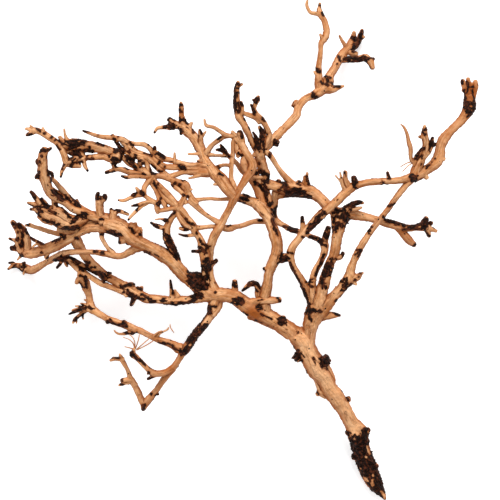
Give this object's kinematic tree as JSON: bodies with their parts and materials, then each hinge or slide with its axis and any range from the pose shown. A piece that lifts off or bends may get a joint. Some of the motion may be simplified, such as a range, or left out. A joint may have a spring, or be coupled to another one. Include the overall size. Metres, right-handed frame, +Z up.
{
  "type": "tree branch",
  "caption": "Bare weathered tree branch with a slanted butt, crooked forking limbs, knots and broken twigs, lying flat on three low points.",
  "frame": {"origin": "centre of the bounding box at the surface the branch lies on", "axes": "+Z up from the surface, -Y towards the slanted butt, +X towards the long limb with the three-fingered end"},
  "size_m": [0.712, 0.7638, 0.1877],
  "materials": {
    "wood": "dry bare wood, lightly grooved, with remnants of dark bark"
  },
  "bodies": {
    "root": {"branch": "wood"}
  },
  "joints": []
}
